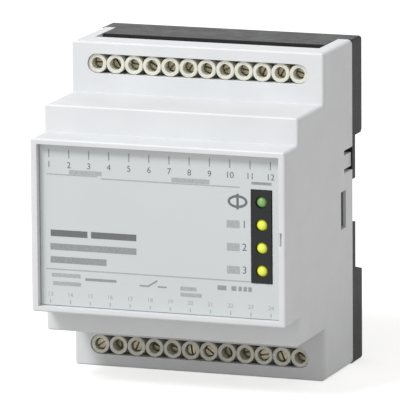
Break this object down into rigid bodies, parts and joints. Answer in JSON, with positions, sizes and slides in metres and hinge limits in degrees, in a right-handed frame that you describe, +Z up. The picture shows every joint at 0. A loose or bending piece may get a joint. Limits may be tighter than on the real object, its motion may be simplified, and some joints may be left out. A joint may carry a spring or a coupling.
{
  "type": "photoelectric amplifier relay",
  "caption": "Rail-mounted amplifier relay in a stepped four-module housing, with screw terminals above and below, indicator lamps and a sliding rail latch.",
  "frame": {"origin": "middle of the flat seat that rests on the face of the 35 mm mounting rail", "axes": "+X to the right seen from the front, +Y back into the rail, +Z up"},
  "size_m": [0.07, 0.0618, 0.087],
  "materials": {
    "cover_plastic": "fine satin moulding",
    "base_plastic": "satin moulding",
    "latch_plastic": "satin moulding",
    "spring_steel": "drawn wire",
    "label_film": "printed film",
    "holder_black": "satin moulding",
    "green_lens": "diffuse tinted lens",
    "yellow_lens": "lit tinted lens",
    "terminal_plastic": "natural moulding",
    "screw_zinc": "yellow zinc plating",
    "clamp_zinc": "zinc plating",
    "contact_tin": "tin plating",
    "board_laminate": "green solder resist",
    "core_steel": "varnished laminations",
    "bobbin_plastic": "moulding",
    "winding_tape": "insulating tape",
    "relay_case": "sealed case",
    "can_sleeve": "shrunk sleeve",
    "device_black": "moulded epoxy",
    "varistor_coat": "dipped coating",
    "resistor_coat": "lacquer"
  },
  "bodies": {
    "housing": {"cover": "cover_plastic", "base": "base_plastic", "latch_spring": "spring_steel", "front_label": "label_film", "led_holder": "holder_black", "green_led": "green_lens", "yellow_led_1": "yellow_lens", "yellow_led_2": "yellow_lens", "yellow_led_3": "yellow_lens", "top_terminal_block": "terminal_plastic", "bottom_terminal_block": "terminal_plastic", "top_terminal_screws": "screw_zinc", "bottom_terminal_screws": "screw_zinc", "top_wire_clamps": "clamp_zinc", "bottom_wire_clamps": "clamp_zinc", "top_contacts": "contact_tin", "bottom_contacts": "contact_tin", "main_board": "board_laminate", "riser_board": "board_laminate", "front_board": "board_laminate", "transformer_core": "core_steel", "transformer_bobbin": "bobbin_plastic", "transformer_winding": "winding_tape", "relay_1": "relay_case", "relay_2": "relay_case", "relay_3": "relay_case", "smoothing_capacitors": "can_sleeve", "bridge_rectifier": "device_black", "voltage_regulator": "device_black", "varistor": "varistor_coat", "resistors": "resistor_coat", "controller_chip": "device_black", "amplifier_chips": "device_black"},
    "latch": {"rail_latch": "latch_plastic"}
  },
  "joints": [
    {"name": "latch_slide", "type": "slide", "parent": "housing", "child": "latch", "axis": [0, 0, -1], "range_m": [0, 0.004], "stiffness_N_per_m": 900, "springref_m": -0.003, "deforming": ["latch_spring"]}
  ]
}
